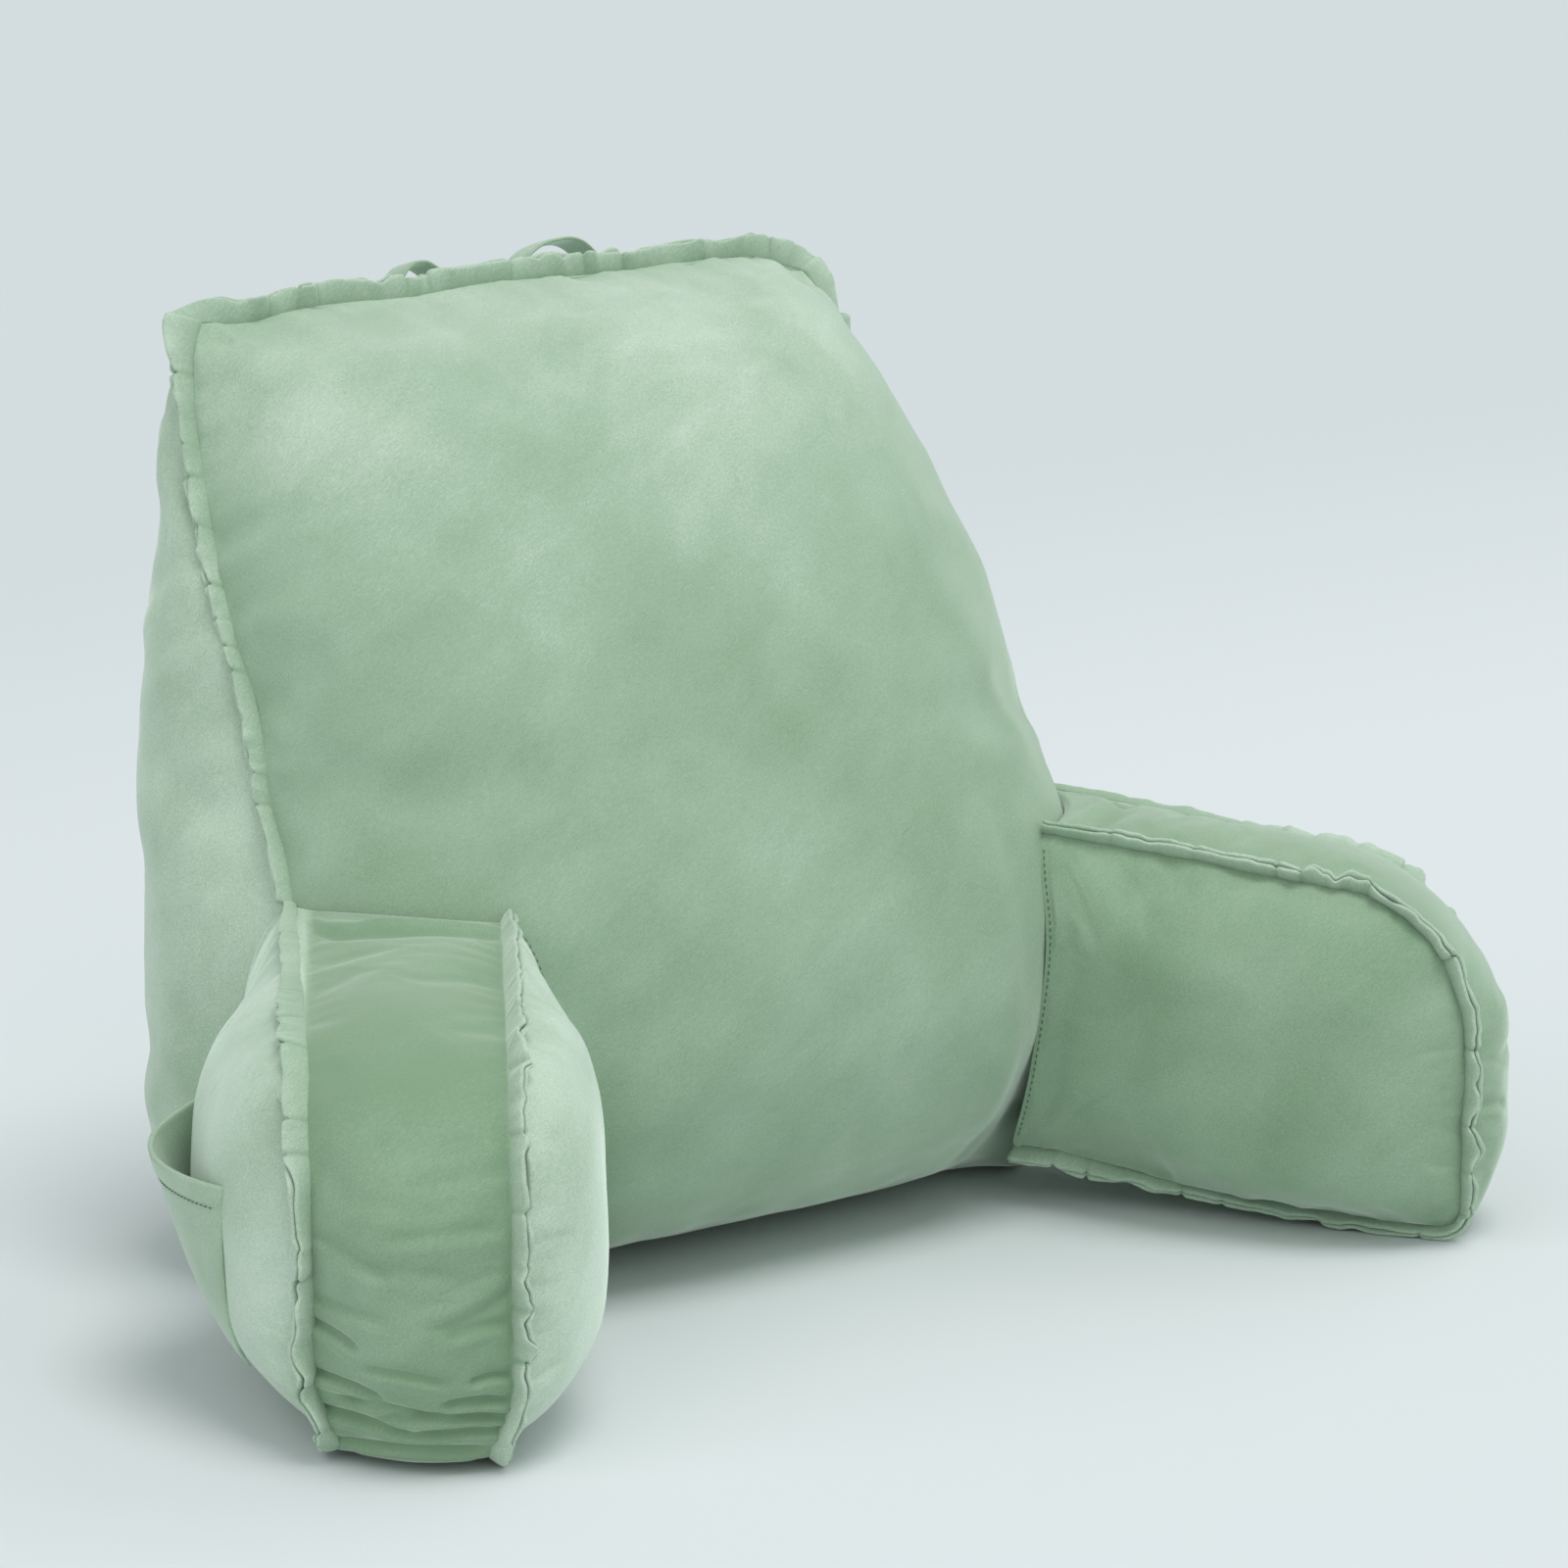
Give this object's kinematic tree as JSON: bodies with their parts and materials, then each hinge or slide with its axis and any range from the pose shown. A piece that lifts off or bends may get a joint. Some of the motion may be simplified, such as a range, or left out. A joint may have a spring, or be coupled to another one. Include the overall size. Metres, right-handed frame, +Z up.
{
  "type": "backrest pillow",
  "caption": "Filled velvet backrest pillow: a leaning crowned wedge with two filled arms, ruffled seam edges, a side pocket and a carry strap",
  "frame": {"origin": "on the floor, on the flat foot of the backrest, midway between the arms", "axes": "+X runs across the pillow to the right as seen from the front; -Y is the front, where the arms reach; +Z is up"},
  "size_m": [0.8797, 0.5616, 0.5901],
  "materials": {
    "velvet_backrest": "soft short-pile velvet, sage green",
    "velvet_arm": "soft short-pile velvet, sage green",
    "velvet_pocket": "soft short-pile velvet, sage green",
    "velvet_strap": "soft short-pile velvet, sage green",
    "velvet_ruffle": "gathered short-pile velvet, sage green"
  },
  "bodies": {
    "root": {"backrest": "velvet_backrest", "arm_left": "velvet_arm", "arm_right": "velvet_arm", "pocket": "velvet_pocket", "strap": "velvet_strap", "ruffle_back": "velvet_ruffle", "ruffle_left_inner": "velvet_ruffle", "ruffle_left_outer": "velvet_ruffle", "ruffle_right_inner": "velvet_ruffle", "ruffle_right_outer": "velvet_ruffle"}
  },
  "joints": []
}
